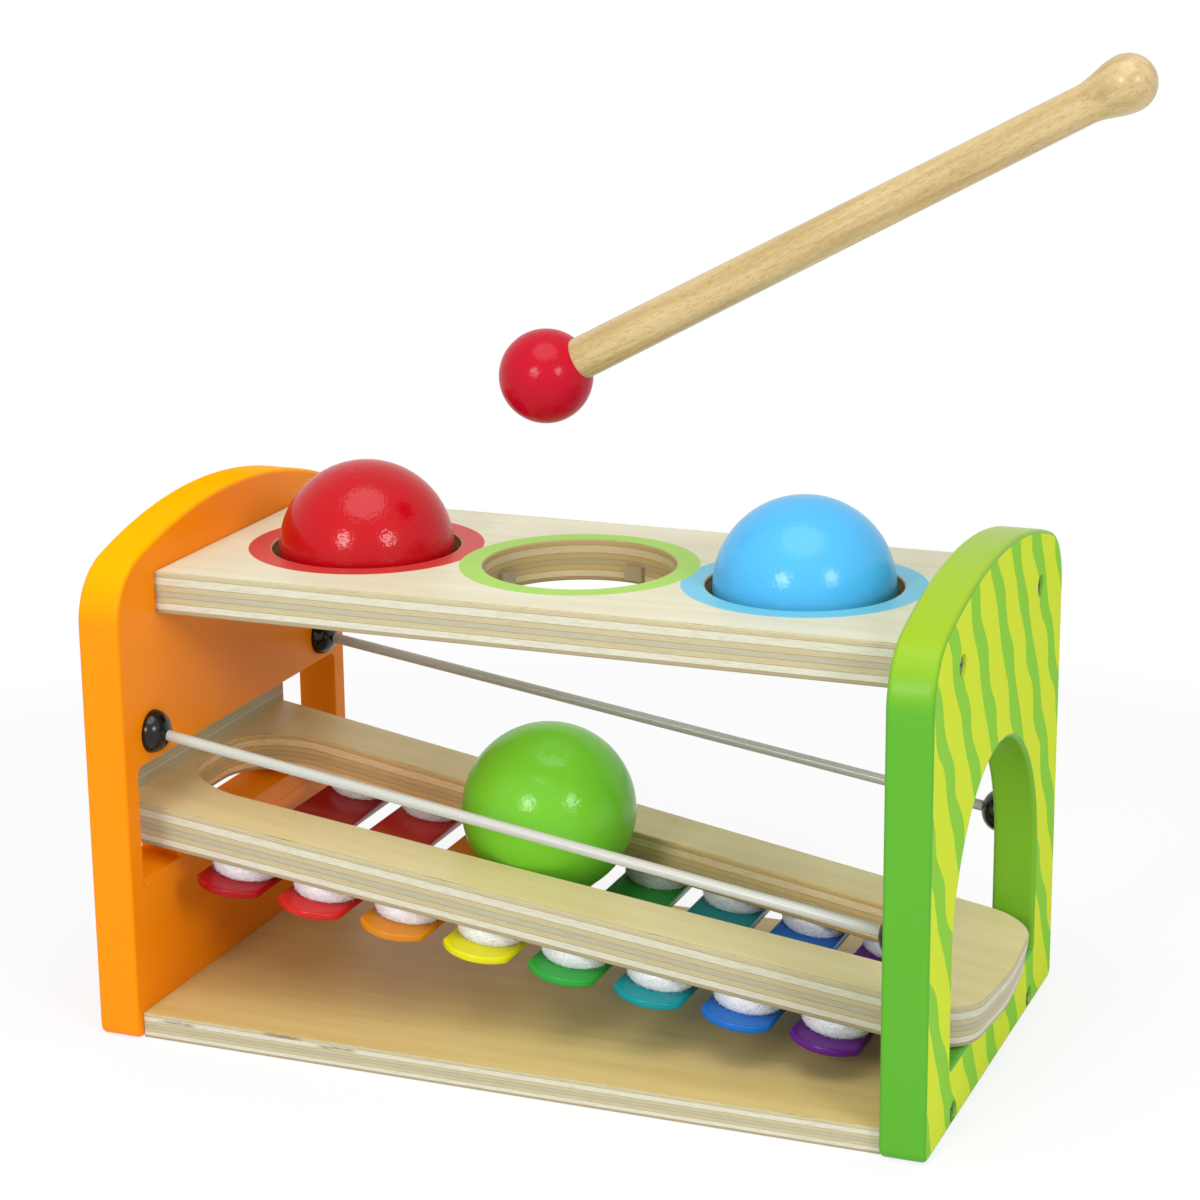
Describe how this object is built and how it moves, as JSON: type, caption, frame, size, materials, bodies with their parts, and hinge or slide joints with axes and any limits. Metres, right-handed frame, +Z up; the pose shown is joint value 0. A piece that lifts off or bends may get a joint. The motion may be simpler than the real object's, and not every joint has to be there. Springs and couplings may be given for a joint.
{
  "type": "peg pounding bench",
  "caption": "Toddler's pounding bench: balls are hit through holes in a top board onto a sloping xylophone tray that draws out at one end; a mallet goes with it.",
  "frame": {"origin": "centre of the base board's underside, which is level with the feet of the end panels", "axes": "+X along the bench towards the low end of the tray, +Y to the back, +Z up"},
  "size_m": [0.2817, 0.131, 0.2649],
  "materials": {
    "orange_paint": "satin paint",
    "green_paint": "satin paint with wavy stripes on the outer face",
    "birch_ply": "clear satin lacquer",
    "beech": "clear gloss lacquer",
    "white_enamel": "gloss",
    "black_rubber": "matte",
    "clear_rubber": "satin",
    "screw_steel": "bright",
    "white_felt": "fuzzy felt",
    "key_dark_red": "enamel",
    "key_vermilion": "enamel",
    "key_amber": "enamel",
    "key_yellow": "enamel",
    "key_green": "enamel",
    "key_teal": "enamel",
    "key_blue": "enamel",
    "key_purple": "enamel",
    "ball_red": "gloss lacquer",
    "ball_green": "gloss lacquer",
    "ball_blue": "gloss lacquer",
    "mallet_red": "satin"
  },
  "bodies": {
    "bench": {"left_panel": "orange_paint", "right_panel": "green_paint", "top_board": "birch_ply", "base_board": "birch_ply", "gripping_pads": "clear_rubber", "front_rod": "white_enamel", "rear_rod": "white_enamel", "left_rod_bushes": "black_rubber", "right_rod_bushes": "black_rubber", "left_panel_screws": "screw_steel", "right_panel_screws": "screw_steel"},
    "tray": {"tray_frame": "birch_ply", "stop_batten": "birch_ply", "end_bar": "orange_paint", "key_1": "key_dark_red", "key_2": "key_vermilion", "key_3": "key_amber", "key_4": "key_yellow", "key_5": "key_green", "key_6": "key_teal", "key_7": "key_blue", "key_8": "key_purple", "front_felt_pads": "white_felt", "rear_felt_pads": "white_felt", "front_key_pins": "screw_steel", "rear_key_pins": "screw_steel"},
    "green_ball": {"green_ball": "ball_green"},
    "red_ball": {"red_ball": "ball_red"},
    "blue_ball": {"blue_ball": "ball_blue"},
    "mallet": {"mallet_handle": "beech", "mallet_head": "mallet_red"}
  },
  "joints": [
    {"name": "tray_slide", "type": "slide", "parent": "bench", "child": "tray", "axis": [0.9895, 0, -0.1449], "range_m": [-0.066, 0]},
    {"name": "green_ball_roll", "type": "slide", "parent": "tray", "child": "green_ball", "axis": [0.9999, 0, -0.0131], "range_m": [0, 0.124]},
    {"name": "red_ball_drop", "type": "slide", "parent": "bench", "child": "red_ball", "axis": [0, 0, -1], "range_m": [0, 0.0625]},
    {"name": "blue_ball_drop", "type": "slide", "parent": "bench", "child": "blue_ball", "axis": [0, 0, -1], "range_m": [0, 0.0735]},
    {"name": "mallet_swing", "type": "hinge", "parent": "bench", "child": "mallet", "pos_m": [0.12, 0, 0.2455], "axis": [0, 1, 0], "range_deg": [0, 16]}
  ]
}
